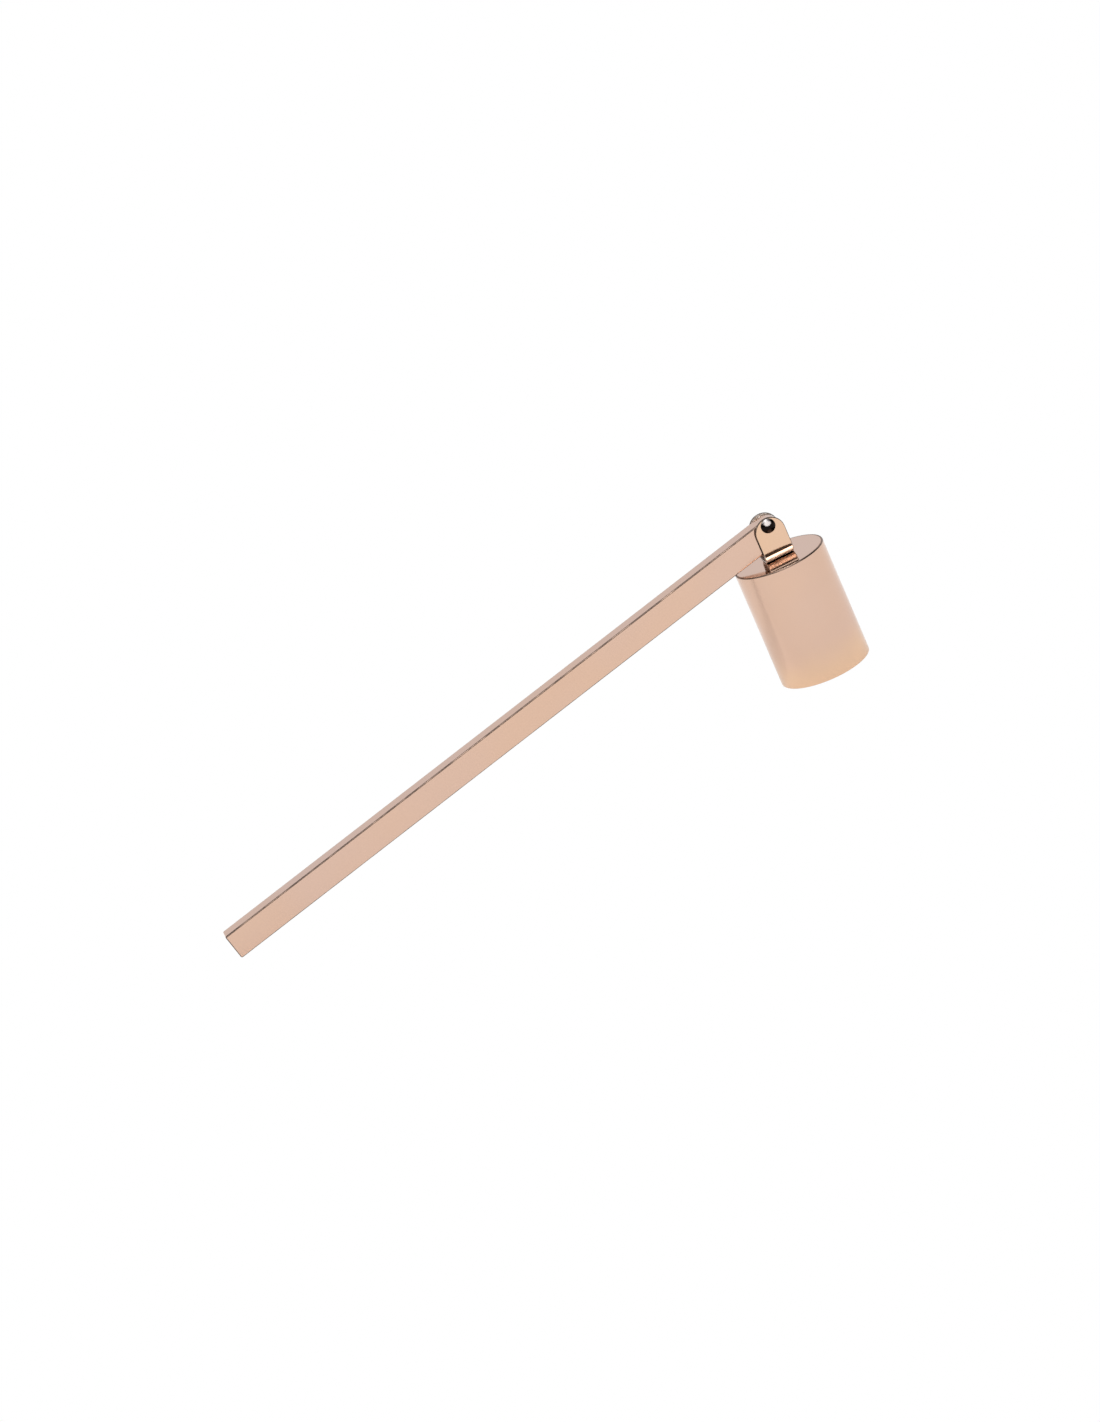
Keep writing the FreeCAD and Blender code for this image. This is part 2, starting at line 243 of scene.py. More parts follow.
def run_tree(name, points, tree, finish, **inputs):
    """Give the points to a tree, set its inputs by identifier, and keep the resulting mesh."""
    rough = points_object(name + "_points", points)
    modifier = rough.modifiers.new("tree", "NODES")
    modifier.node_group = tree
    wanted = {key.replace("_", " ").capitalize(): value for key, value in inputs.items()}
    wanted["Finish"] = finish
    for socket in tree.interface.items_tree:
        is_input = socket.item_type == "SOCKET" and socket.in_out == "INPUT"
        if is_input and socket.name in wanted:
            modifier[socket.identifier] = wanted[socket.name]
    graph = bpy.context.evaluated_depsgraph_get()
    mesh = bpy.data.meshes.new_from_object(rough.evaluated_get(graph), depsgraph=graph)
    bpy.data.objects.remove(rough)
    mesh.name = name
    return add_object(name, mesh)


# %% Cleaning a mesh and setting its normals
TOO_SHORT = 0.0002 * MM      # edges shorter than this are dissolved


def close_up(piece):
    """Merge doubles, turn every face outwards, shade smooth, and count the open edges."""
    work = bmesh.new()
    work.from_mesh(piece.data)
    bmesh.ops.remove_doubles(work, verts=work.verts, dist=SAME_POINT)
    bmesh.ops.dissolve_degenerate(work, edges=work.edges, dist=TOO_SHORT)
    loose = [edge for edge in work.edges if not edge.link_faces]
    bmesh.ops.delete(work, geom=loose, context="EDGES")
    bmesh.ops.recalc_face_normals(work, faces=work.faces)
    work.to_mesh(piece.data)
    open_edges = sum(1 for edge in work.edges if not edge.is_manifold)
    work.free()
    piece.data.shade_smooth()
    return open_edges


def keep_flats_flat(piece):
    """Let the large faces set the normals, so a flat stays flat right up to its rounded edge."""
    modifier = piece.modifiers.new("flat_faces", "WEIGHTED_NORMAL")
    modifier.mode = "FACE_AREA"
    modifier.weight = 100
    modifier.keep_sharp = True


# %% Marks on faces and points
def store_marks(piece, name, domain, values):
    """Store the numbers as an attribute that a material can read by name."""
    piece.data.attributes.new(name, "FLOAT", domain).data.foreach_set("value", values)
    marked = sum(value > 0 for value in values)
    print("  %s: %d of %d %ss are %s" % (piece.name, marked, len(values), domain.lower(), name))


def mark_faces(piece, name, rule):
    """Store a number from 0 to 1 on each face, worked out by a rule from its centre and normal."""
    values = [float(rule(face.center, face.normal)) for face in piece.data.polygons]
    store_marks(piece, name, "FACE", values)


def mark_points(piece, name, rule):
    """The same as mark_faces, but on the points, so that the mark fades smoothly between them."""
    values = [float(rule(point.co, point.normal)) for point in piece.data.vertices]
    store_marks(piece, name, "POINT", values)


# %% A turned piece
def turn(name, corners, finish, steps, to_place=None):
    """A turned piece from the corners of its section, in the XZ plane, placed by a matrix."""
    section = rounded(corners)
    section.append(section[0])
    points = [(point.x, 0.0, point.y) for point in section]
    piece = run_tree(name, points, turning_tree, finish, steps_round=steps)
    if to_place is not None:
        piece.data.transform(to_place)
    open_edges = close_up(piece)
    keep_flats_flat(piece)
    print("%-15s %6d faces, %d open edges" % (name, len(piece.data.polygons), open_edges))
    return piece


# %% [markdown]
# ## Finishes
# Three metals show. The snuffer itself is stainless steel with a polished rose-gold plating. The
# pin and its nut are dark polished steel, whose near-black colour is partly a painted dark
# reflection. The washers are plain bright steel. Polished metal has almost no colour of its own:
# what it shows is the room, so the detail is in the roughness and in very shallow bumps. The
# effects that the metals share are built once, as node groups: polishing marks, the smudges that
# handling leaves, plating that varies a little in tone, painted dark lines along edges that stand
# in for the dark room mirrored there, painted highlights on the pin and the nut, faces with a satin
# look instead of a polish, and soot inside the cup. Pictures could do this too, but noise has no
# seams and stays sharp however near one looks.

# %% Helpers for shader groups
def new_shader_group(name, inputs, outputs):
    """An empty shader group with float inputs (name, default) and named outputs."""
    group = bpy.data.node_groups.new(name, "ShaderNodeTree")
    for label, default in inputs:
        socket = group.interface.new_socket(label, in_out="INPUT", socket_type="NodeSocketFloat")
        socket.default_value = default
    for label in outputs:
        group.interface.new_socket(label, in_out="OUTPUT", socket_type="NodeSocketFloat")
    given = add_node(group, "NodeGroupInput", (0, 0))
    out = add_node(group, "NodeGroupOutput", (9, 0))
    return group, given, out


def noise(tree, scale, detail, at, seed=None, vector=None):
    """A noise texture on Object coordinates, or on a given vector."""
    node = add_node(tree, "ShaderNodeTexNoise", at, noise_dimensions="4D")
    if vector is None:
        vector = add_node(tree, "ShaderNodeTexCoord", (at[0] - 1, at[1])).outputs["Object"]
    tree.links.new(vector, node.inputs["Vector"])
    node.inputs["Detail"].default_value = detail
    for socket, source in ((node.inputs["Scale"], scale), (node.inputs["W"], seed)):
        if isinstance(source, (int, float)):
            socket.default_value = source
        elif source is not None:
            tree.links.new(source, socket)
    return node.outputs["Fac"]


def spread(tree, value, low, high, at):
    """Turn a narrow range of values into a soft mask from 0 to 1."""
    node = add_node(tree, "ShaderNodeMapRange", at, interpolation_type="SMOOTHSTEP")
    node.inputs["From Min"].default_value = low
    node.inputs["From Max"].default_value = high
    tree.links.new(value, node.inputs["Value"])
    return node.outputs["Result"]


# %% Group: polishing marks
BROAD_SHARE = 0.12      # how many broad streaks there are for each fine line
LINE_GAIN = 2.0         # the product of two noises is about half as strong as one


def make_marks_group():
    """Fine lines drawn out along one direction: Lines is for roughness and Height is for bump.
    Tilt turns them about Y, for a piece that doesn't lie along an axis."""
    group, given, out = new_shader_group(
        "polishing_marks",
        [("Along X", 1.0), ("Along Y", 1.0), ("Along Z", 1.0), ("Tilt", 0.0),
         ("Lines per metre", 5000.0)],
        ["Lines", "Height"])
    link = group.links.new
    where = add_node(group, "ShaderNodeTexCoord", (1, 0))
    scale = add_node(group, "ShaderNodeCombineXYZ", (1, 1))
    for axis in ("X", "Y", "Z"):
        link(given.outputs["Along " + axis], scale.inputs[axis])
    level = add_node(group, "ShaderNodeVectorRotate", (2, -1), rotation_type="Y_AXIS")
    link(where.outputs["Object"], level.inputs["Vector"])
    link(given.outputs["Tilt"], level.inputs["Angle"])
    drawn_out = add_node(group, "ShaderNodeVectorMath", (2, 0), operation="MULTIPLY")
    link(level.outputs[0], drawn_out.inputs[0])
    link(scale.outputs[0], drawn_out.inputs[1])
    density = given.outputs["Lines per metre"]
    fine = noise(group, density, 3.0, (3, 0), vector=drawn_out.outputs[0])
    coarse = maths(group, "MULTIPLY", density, BROAD_SHARE, (2, 2))
    broad = noise(group, coarse, 1.0, (3, 2), vector=drawn_out.outputs[0])
    both = maths(group, "MULTIPLY", fine, broad, (5, 0))
    link(maths(group, "MULTIPLY", both, LINE_GAIN, (6, 0)), out.inputs["Lines"])
    link(fine, out.inputs["Height"])
    return group


marks_group = make_marks_group()

# %% Group: smudges and tone
def make_handling_group():
    """Smudges of a few millimetres from fingers, and a slower drift in the tone of the plating."""
    group, given, out = new_shader_group(
        "handling", [("Smudges per metre", 90.0), ("Drifts per metre", 26.0), ("Seed", 0.0)],
        ["Smudges", "Tone"])
    seed = given.outputs["Seed"]
    cloud = noise(group, given.outputs["Smudges per metre"], 4.0, (2, 0), seed=seed)
    smudges = spread(group, cloud, low=0.44, high=0.68, at=(3, 0))
    drift = noise(group, given.outputs["Drifts per metre"], 2.0, (2, 2), seed=seed)
    tone = spread(group, drift, low=0.32, high=0.68, at=(3, 2))
    group.links.new(smudges, out.inputs["Smudges"])
    group.links.new(tone, out.inputs["Tone"])
    return group


handling_group = make_handling_group()

# %% [markdown]
# ### Marks that belong to certain faces
# Painted dark lines along edges, painted highlights on the pin and the nut, satin faces and soot
# belong to particular faces. The mesh code knows which faces those are, so it stores a number on
# each one, and the groups read that number by name and break it up with noise. That is steadier
# than guessing from the curvature of the surface.

# %% Groups: painted edge lines and highlights, satin faces, soot and painted dark edges
def make_face_group(name, attribute, scale, low, high, floor):
    """A mask that is only on marked faces, and never weaker there than floor."""
    group, given, out = new_shader_group(
        name, [("Patches per metre", scale), ("Strength", 1.0)], ["Mask"])
    marked = add_node(group, "ShaderNodeAttribute", (2, 0), attribute_name=attribute)
    patches = noise(group, given.outputs["Patches per metre"], 3.0, (2, 1))
    uneven = spread(group, patches, low, high, (3, 1))
    scaled = maths(group, "MULTIPLY", uneven, 1 - floor, (4, 1))
    lifted = maths(group, "ADD", scaled, floor, (5, 1))
    masked = maths(group, "MULTIPLY", marked.outputs["Fac"], lifted, (6, 0))
    mask = maths(group, "MULTIPLY", masked, given.outputs["Strength"], (7, 0))
    group.links.new(mask, out.inputs["Mask"])
    return group


# Painted light: dark lines along rounded edges, standing in for the dark room that they mirror, and
# pale highlights on the pin's head and the nut's top.
painted_light_group = make_face_group("painted_edge_and_highlight", "painted_light_mark", 260.0, low=0.3, high=0.6, floor=0.7)
# Satin faces inside the cup and the bracket; on the pin's head the same mask paints a highlight.
satin_and_highlight_group = make_face_group("satin_and_painted_highlight", "satin_and_painted_highlight", 1400.0, low=0.3, high=0.7, floor=0.6)
# Soot inside the cup; on the bracket's edges the same mask paints a dark line that stands in for
# the dark room mirrored there.
soot_and_dark_edge_group = make_face_group("soot_and_dark_edge", "soot_and_dark_edge_mark", 150.0, low=0.35, high=0.65, floor=0.25)
print("shader groups:", [group.name for group in bpy.data.node_groups if group.type == "SHADER"])

# %% Blending colours and placing groups
def blend(tree, mask, first, second, at):
    """Blend two colours, each a socket or three numbers, by a mask."""
    node = add_node(tree, "ShaderNodeMix", at, data_type="RGBA")
    tree.links.new(mask, node.inputs["Factor"])
    for socket, source in ((node.inputs["A"], first), (node.inputs["B"], second)):
        if isinstance(source, tuple):
            socket.default_value = (*source, 1.0)
        else:
            tree.links.new(source, socket)
    return node.outputs["Result"]


def place_group(tree, group, at, **values):
    """Put a shader group in a material with its own values."""
    node = add_node(tree, "ShaderNodeGroup", at, node_tree=group)
    for name, value in values.items():
        node.inputs[name.replace("_", " ")].default_value = value
    return node


# %% Building a metal from the groups
# Soot inside the cup; on the bracket's edges the same colour is a painted dark line, standing in
# for the dark room mirrored there.
SOOT_AND_DARK_EDGE = (0.035, 0.030, 0.027)
# Pale satin steel: the colour of satin faces, and on the pin's head a painted highlight.
SATIN_AND_HIGHLIGHT = (0.830, 0.785, 0.745)
SATIN_COVER = 0.8           # how far the satin and highlight mask takes the metal's colour towards the pale colour
SATIN_DULLS = -0.70         # what the full satin and highlight mask adds to Metallic
SOOT_AND_DARK_EDGE_DULLS = -0.8           # what the full soot and dark edge mask adds to Metallic
PAINTED_LIGHT_ROUGH, SATIN_ROUGH, SOOT_AND_DARK_EDGE_ROUGH = 0.26, 0.34, 0.4     # what each adds to Roughness
LINES_SHARE, SMUDGES_SHARE = 0.5, 0.7     # of the way from smooth to dull
BUMP_STRENGTH = 0.5


def make_metal(name, colour, toned, painted_light, smooth, dull, marks, bump_height, seed):
    """A polished metal whose colour drifts to toned and takes painted light on marked faces: a
    painted dark edge line or a painted highlight.

    Its roughness goes from smooth to dull, and marks says how far its lines are drawn out along
    X, Y and Z."""
    material = bpy.data.materials.new(name)
    material.use_nodes = True
    tree = material.node_tree
    shader = tree.nodes["Principled BSDF"]
    shader.location = (2400, 0)
    lines = place_group(tree, marks_group, (1, 0),
                        Along_X=marks[0], Along_Y=marks[1], Along_Z=marks[2])
    handling = place_group(tree, handling_group, (1, 2), Seed=seed)
    corners = place_group(tree, painted_light_group, (1, 4)).outputs["Mask"]
    satin_and_highlight = place_group(tree, satin_and_highlight_group, (1, 5)).outputs["Mask"]
    soot_and_dark_edge = place_group(tree, soot_and_dark_edge_group, (1, 6)).outputs["Mask"]

    plated = blend(tree, handling.outputs["Tone"], colour, toned, (3, 0))
    with_painted_light = blend(tree, corners, plated, painted_light, (4, 0))
    satin = maths(tree, "MULTIPLY", satin_and_highlight, SATIN_COVER, (3, 5))
    with_satin_and_highlight = blend(tree, satin, with_painted_light, SATIN_AND_HIGHLIGHT, (4, 1))
    tree.links.new(blend(tree, soot_and_dark_edge, with_satin_and_highlight, SOOT_AND_DARK_EDGE, (5, 0)), shader.inputs["Base Color"])

    streaks = maths(tree, "MULTIPLY", lines.outputs["Lines"], (dull - smooth) * LINES_SHARE, (3, 2))
    patches = maths(tree, "MULTIPLY", handling.outputs["Smudges"],
                    (dull - smooth) * SMUDGES_SHARE, (3, 3))
    rough = maths(tree, "ADD", maths(tree, "ADD", streaks, patches, (4, 2)), smooth, (5, 2))
    extras = ((corners, PAINTED_LIGHT_ROUGH), (satin_and_highlight, SATIN_ROUGH), (soot_and_dark_edge, SOOT_AND_DARK_EDGE_ROUGH))
    for step, (mask, extra) in enumerate(extras):
        added = maths(tree, "MULTIPLY", mask, extra, (4, 4 + step))
        rough = maths(tree, "ADD", rough, added, (6 + step, 3))
    tree.links.new(rough, shader.inputs["Roughness"])

    matt = maths(tree, "ADD", maths(tree, "MULTIPLY", soot_and_dark_edge, SOOT_AND_DARK_EDGE_DULLS, (4, 7)),
                 maths(tree, "MULTIPLY", satin_and_highlight, SATIN_DULLS, (4, 8)), (5, 7))
    tree.links.new(maths(tree, "ADD", matt, 1.0, (6, 7)), shader.inputs["Metallic"])

    bump = add_node(tree, "ShaderNodeBump", (6, 1))
    bump.inputs["Strength"].default_value = BUMP_STRENGTH
    bump.inputs["Distance"].default_value = bump_height
    tree.links.new(lines.outputs["Height"], bump.inputs["Height"])
    tree.links.new(bump.outputs["Normal"], shader.inputs["Normal"])
    return material


# %% Rose gold
ALONG_BAR = (0.03, 1.0, 1.0)
ROUND_CUP = (1.0, 1.0, 0.04)
EVENLY = (1.0, 1.0, 1.0)
ROSE = (0.672, 0.470, 0.372)
ROSE_GOLDEN = (0.690, 0.468, 0.345)
# A painted dark reflection: dark brown for rounded edges, standing in for the dark room that they
# mirror.
ROSE_PAINTED_DARK_EDGE = (0.110, 0.078, 0.064)
DISC_ROSE = (0.690, 0.488, 0.382)
DISC_GOLDEN = (0.690, 0.475, 0.360)
STRAP_ROSE = (0.740, 0.508, 0.358)
STRAP_GOLDEN = (0.750, 0.503, 0.332)
rose_bar = make_metal("rose_gold_bar", ROSE, ROSE_GOLDEN, ROSE_PAINTED_DARK_EDGE, smooth=0.10, dull=0.20,
                      marks=ALONG_BAR, bump_height=0.0003 * MM, seed=1.0)
rose_wall = make_metal("rose_gold_wall", ROSE, ROSE_GOLDEN, ROSE_PAINTED_DARK_EDGE, smooth=0.12, dull=0.22,
                       marks=ROUND_CUP, bump_height=0.0006 * MM, seed=2.0)
rose_disc = make_metal("rose_gold_disc", DISC_ROSE, DISC_GOLDEN, ROSE_PAINTED_DARK_EDGE, smooth=0.05, dull=0.10,
                       marks=EVENLY, bump_height=0.001 * MM, seed=3.0)
rose_strap = make_metal("rose_gold_strap", STRAP_ROSE, STRAP_GOLDEN, ROSE_PAINTED_DARK_EDGE, smooth=0.05,
                        dull=0.10, marks=EVENLY, bump_height=0.001 * MM, seed=6.0)
print("rose gold:", [metal.name for metal in (rose_bar, rose_wall, rose_disc, rose_strap)])

# %% Dark steel and washer steel
# The near-black colour of the pin and the nut is partly their dark steel and partly a painted dark
# reflection of the room.
DARK = (0.010, 0.007, 0.006)
DARK_BROWN = (0.014, 0.010, 0.009)
# A painted highlight colour: pale steel, painted where the pin's head and the nut's top would catch
# the lights.
DARK_STEEL_PAINTED_HIGHLIGHT = (0.80, 0.72, 0.72)
STEEL = (0.60, 0.59, 0.57)
STEEL_TONED = (0.52, 0.51, 0.49)
STEEL_WORN = (0.35, 0.34, 0.33)
dark_steel = make_metal("dark_steel", DARK, DARK_BROWN, DARK_STEEL_PAINTED_HIGHLIGHT, smooth=0.10, dull=0.22,
                        marks=EVENLY, bump_height=0.001 * MM, seed=4.0)
washer_steel = make_metal("washer_steel", STEEL, STEEL_TONED, STEEL_WORN, smooth=0.16, dull=0.30,
                          marks=EVENLY, bump_height=0.002 * MM, seed=5.0)
print("steel:", [metal.name for metal in (dark_steel, washer_steel)])

# %% [markdown]
# ### Colour that changes with height
# Two places on the object are tinted. The cup's mouth sits in the flame and goes a deeper gold,
# with a wavy border. The bends of the bracket are painted paler than the flat ears, a painted
# highlight that makes the bright bands of light on the bend look whiter. A second material for each
# zone would give it a hard border, so both are a blend inside the one material, ruled by the height
# above the table.

# %% A tint below a height
WAVES_PER_METRE = 70.0
WAVES_SEED = 7.0


def tint_below(material, tint, low, high, wave, strength):
    """Blend the colour of a metal towards a tint: fully below low, not at all above high."""
    tree = material.node_tree
    shader = tree.nodes["Principled BSDF"]
    before = shader.inputs["Base Color"].links[0].from_socket
    where = add_node(tree, "ShaderNodeTexCoord", (7, -2))
    height = add_node(tree, "ShaderNodeSeparateXYZ", (8, -2))
    tree.links.new(where.outputs["Object"], height.inputs[0])
    waves = noise(tree, WAVES_PER_METRE, 2.0, (8, -3), seed=WAVES_SEED)
    wavy = maths(tree, "MULTIPLY", waves, wave, (9, -3))
    lowered = maths(tree, "SUBTRACT", height.outputs["Z"], wavy, (10, -2))
    mask = maths(tree, "SUBTRACT", 1.0, spread(tree, lowered, low, high, (11, -2)), (12, -2))
    mixed = blend(tree, maths(tree, "MULTIPLY", mask, strength, (13, -2)), before, tint, (14, -2))
    tree.links.new(mixed, shader.inputs["Base Color"])
    print("%s is tinted below %.1f mm" % (material.name, (high + wave) / MM))


DEEP_GOLD = (0.760, 0.520, 0.345)
# A painted highlight colour: the bracket's bends are painted pale so the bands of light along them
# look whiter.
BEND_PAINTED_HIGHLIGHT = (0.860, 0.775, 0.705)
tint_below(rose_wall, DEEP_GOLD, low=-2.8 * MM, high=7.0 * MM, wave=8.4 * MM, strength=0.75)
tint_below(rose_strap, BEND_PAINTED_HIGHLIGHT, low=strap_low.z + 2.1 * MM, high=strap_low.z + 2.6 * MM,
           wave=0.2 * MM, strength=0.85)

# %% [markdown]
# ## The cup's wall
# On the real tool the wall is a short piece of tube, turned inside to leave a shoulder near the
# top. The flat top drops onto that shoulder. The mouth's rim is rounded so that it can't scratch a
# jar. It is a lathe piece, so its section goes through the turning tree.

# %% Cup wall
WALL = 1.0 * MM
SEAT_RADIUS = 12.1 * MM
SHOULDER_RADIUS = 10.8 * MM
SHOULDER_LENGTH = 1.7 * MM
MOUTH_ROUND = 0.25 * MM
TOP_EDGE_ROUND = 0.33 * MM
SEAM_ROUND = 0.05 * MM
BORE_ROUND = 0.15 * MM
BROKEN_EDGE = 0.1 * MM       # the rounding of small edges that no hand touches
bore = CUP_RADIUS - WALL
shoulder_low = TOP_UNDERSIDE - SHOULDER_LENGTH
cup_wall = turn("cup_wall_turned", [
    (bore, wall_low.z, MOUTH_ROUND),
    (CUP_RADIUS, wall_low.z, MOUTH_ROUND),
    (CUP_RADIUS, CUP_HEIGHT, TOP_EDGE_ROUND),
    (SEAT_RADIUS, CUP_HEIGHT, SEAM_ROUND),
    (SEAT_RADIUS, TOP_UNDERSIDE, 0),
    (SHOULDER_RADIUS, TOP_UNDERSIDE, BROKEN_EDGE),
    (SHOULDER_RADIUS, shoulder_low, BROKEN_EDGE),
    (bore, shoulder_low, BORE_ROUND),
], rose_wall, steps=160)

# %% Where the wall has a painted dark edge line, satin faces and soot
RIM_BAND = 0.35 * MM         # the painted dark edge line is within this of the top
MOUTH_BAND = 0.3 * MM        # the rim at the mouth is polished this far up
MID_WALL = CUP_RADIUS - WALL / 2


def is_top_rim(centre, normal):
    """The outer corner of the lip."""
    slanted = 0.1 < normal.z < 0.999
    return slanted and centre.z > CUP_HEIGHT - RIM_BAND and centre.xy.length > SEAT_RADIUS


def is_in_bore(centre, normal):
    """Faces that look into the cup."""
    return centre.xy.length < MID_WALL and MOUTH_BAND < centre.z < TOP_UNDERSIDE


def soot_in_bore(centre, normal):
    """Soot that gets thicker from the mouth upwards."""
    return is_in_bore(centre, normal) * centre.z / CUP_HEIGHT


# A painted dark line on the lip's outer corner, standing in for the dark room that it mirrors.
mark_faces(cup_wall, "painted_light_mark", is_top_rim)
mark_faces(cup_wall, "satin_and_painted_highlight", is_in_bore)
mark_faces(cup_wall, "soot_and_dark_edge_mark", soot_in_bore)

# %% [markdown]
# ## The cup's top
# A flat disc, let into the wall so that only a hairline seam shows round it. The wall's own section
# could be carried on over the top, but then the seam would have to be painted. Here it is a real
# gap between two small rounded edges, so it stays right from every side.

# %% Cup top
RIVET_RADIUS = 0.9 * MM
DISC_ROUND = 0.12 * MM
cup_top = turn("cup_top_turned", [
    (RIVET_RADIUS, top_low.z, 0),
    (top_high.x, top_low.z, BROKEN_EDGE),
    (top_high.x, top_high.z, DISC_ROUND),
    (RIVET_RADIUS, top_high.z, 0),
], rose_disc, steps=160)
mark_faces(cup_top, "soot_and_dark_edge_mark", lambda centre, normal: normal.z < -0.9)

# %% [markdown]
# ## Pin, nut, washers and rivet
# The pin's head and the nut are low domes. A dome's section is an arc of a circle, so its points
# come from the circle through its foot and its crown. Pieces on the hinge are turned round Z like
# the others, then laid along Y by a matrix that goes into the mesh, not onto the object. One patch
# of the head is painted pale satin steel, a painted highlight, and that patch is a mark too.

# %% A dome's section
DOME_STEPS = 14


def dome_points(foot_radius, rise):
    """Points (radius, height) from the foot of a dome to just short of its crown."""
    sphere = (foot_radius ** 2 + rise ** 2) / (2 * rise)
    foot_angle = math.atan2(foot_radius, sphere - rise)
    return [(sphere * math.sin(foot_angle * (1 - step / DOME_STEPS)),
             rise - sphere + sphere * math.cos(foot_angle * (1 - step / DOME_STEPS)))
            for step in range(DOME_STEPS)]


def along_hinge(y, outward):
    """A matrix that lays a piece turned round Z on the hinge axis at y, with its +Z end pointing
    towards +Y if outward is 1 and towards -Y if it is -1."""
    place = Matrix.Translation((PIVOT.x, y, PIVOT.z))
    return place @ Matrix.Rotation(-outward * math.pi / 2, 4, "X")


# %% Hinge pin
PIN_RADIUS = 0.85 * MM
LIP = 0.12 * MM
dome_radius = head_high.x
dome_rise = strap_low.y - head_low.y
shank_end = head_high.y - strap_low.y
hinge_pin = turn("hinge_pin_turned", [
    (0, -shank_end, 0),
    (PIN_RADIUS, -shank_end, BROKEN_EDGE),
    (PIN_RADIUS, 0, 0),
    (dome_radius, 0, 0),
    *[(radius, LIP + height, 0) for radius, height in dome_points(dome_radius, dome_rise - LIP)],
    (0, dome_rise, 0),
], dark_steel, steps=96, to_place=along_hinge(strap_low.y, -1))

# %% The painted highlight on the head
# A place on a dome is told by its normal, whose x and z run from -1 to 1.
OVAL_TILT = 0.31                                # the middle of the patch: z of its normal
OVAL_HALF_WIDTH, OVAL_HALF_HEIGHT = 0.33, 0.20  # in x and in z of the normal
OVAL_REACH, OVAL_FADE = 1.25, 0.45              # in half widths: where it ends, and how softly
EDGE_TILT, EDGE_FADE = 0.45, 0.1                # the zone above it, in z of the normal
EDGE_HIGHLIGHT = 0.25                                # how strong the painted highlight in that zone is at most


def painted_highlight_oval(place, normal):
    """A painted highlight: a wide oval above the middle of the head, painted pale satin steel, and
    a fainter painted highlight along its upper edge."""
    if place.y > strap_low.y:
        return 0.0
    from_middle = math.hypot(normal.x / OVAL_HALF_WIDTH, (normal.z - OVAL_TILT) / OVAL_HALF_HEIGHT)
    oval = (OVAL_REACH - from_middle) / OVAL_FADE
    edge = EDGE_HIGHLIGHT * (normal.z - EDGE_TILT) / EDGE_FADE
    return max(0.0, min(1.0, oval), min(EDGE_HIGHLIGHT, edge))


# Both marks paint the highlight on the head: a pale colour and a satin look.
mark_points(hinge_pin, "painted_light_mark", painted_highlight_oval)
mark_points(hinge_pin, "satin_and_painted_highlight", painted_highlight_oval)

# %% Cap nut
UPPER_FROM, UPPER_FADE = 0.25, 0.3      # where its painted highlight begins, and how softly: z of the normal
nut_rise = nut_high.y - nut_low.y
hole_depth = head_high.y - nut_low.y
cap_nut = turn("cap_nut_turned", [
    (0, hole_depth, 0),
    (PIN_RADIUS, hole_depth, 0),
    (PIN_RADIUS, 0, 0),
    (nut_high.x, 0, 0),
    *[(radius, LIP + height, 0) for radius, height in dome_points(nut_high.x, nut_rise - LIP)],
    (0, nut_rise, 0),
], dark_steel, steps=96, to_place=along_hinge(nut_low.y, 1))


def upper_side(place, normal):
    """Where a dome looks up, fading in softly."""
    return max(0.0, min(1.0, (normal.z - UPPER_FROM) / UPPER_FADE))


# A painted highlight: the nut is painted pale where it looks up towards the lights.
mark_points(cap_nut, "painted_light_mark", upper_side)

# %% Hinge washers
WASHER_ROUND = 0.05 * MM
washer_radius = front_washer_high.x
washer_thick = front_washer_high.y - front_washer_low.y
hinge_washers = {}
for node in ("washer_front", "washer_rear"):
    hinge_washers[node] = turn(node + "_turned", [
        (PIN_RADIUS, 0, 0),
        (washer_radius, 0, WASHER_ROUND),
        (washer_radius, washer_thick, WASHER_ROUND),
        (PIN_RADIUS, washer_thick, 0),
    ], washer_steel, steps=64, to_place=along_hinge(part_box(node)[0].y, 1))

# %% Cup rivet and its backing washer
BUTTON_RADIUS = 1.4 * MM
BUTTON_ROUND = 0.42 * MM
STRAP_THICK = 0.6 * MM       # the sheet that the bracket is bent from
rivet_seat = strap_low.z + STRAP_THICK
cup_rivet = turn("cup_rivet_turned", [
    (0, rivet_low.z, 0),
    (BUTTON_RADIUS, rivet_low.z, BUTTON_ROUND),
    (BUTTON_RADIUS, backing_low.z, 0),
    (RIVET_RADIUS, backing_low.z, 0),
    (RIVET_RADIUS, rivet_seat, 0),
    (BUTTON_RADIUS, rivet_seat, 0),
    (BUTTON_RADIUS, rivet_high.z, BUTTON_ROUND),
    (0, rivet_high.z, 0),
], rose_disc, steps=64)
mark_faces(cup_rivet, "soot_and_dark_edge_mark", lambda centre, normal: centre.z < TOP_UNDERSIDE)
backing_washer = turn("backing_washer_turned", [
    (RIVET_RADIUS, backing_low.z, 0),
    (backing_high.x, backing_low.z, BROKEN_EDGE),
    (backing_high.x, backing_high.z, BROKEN_EDGE),
    (RIVET_RADIUS, backing_high.z, 0),
], washer_steel, steps=72)
mark_faces(backing_washer, "soot_and_dark_edge_mark", lambda centre, normal: normal.z < 0.5)

# %% [markdown]
# ## The U bracket
# A strap of sheet is cut with two round ends and then bent into a U. Its shape follows a rule too:
# a line runs down one ear, round a bend, across the base and up the other ear, and at each point of
# that line the strap has a half width. The full width holds until the round end starts, and there
# the half width follows a circle. Two ears and a base joined together would show seams that a bent
# strap doesn't have, so the second tree lays one grid along that whole line. Solidify and Bevel
# then give it the sheet's thickness and its broken edges.

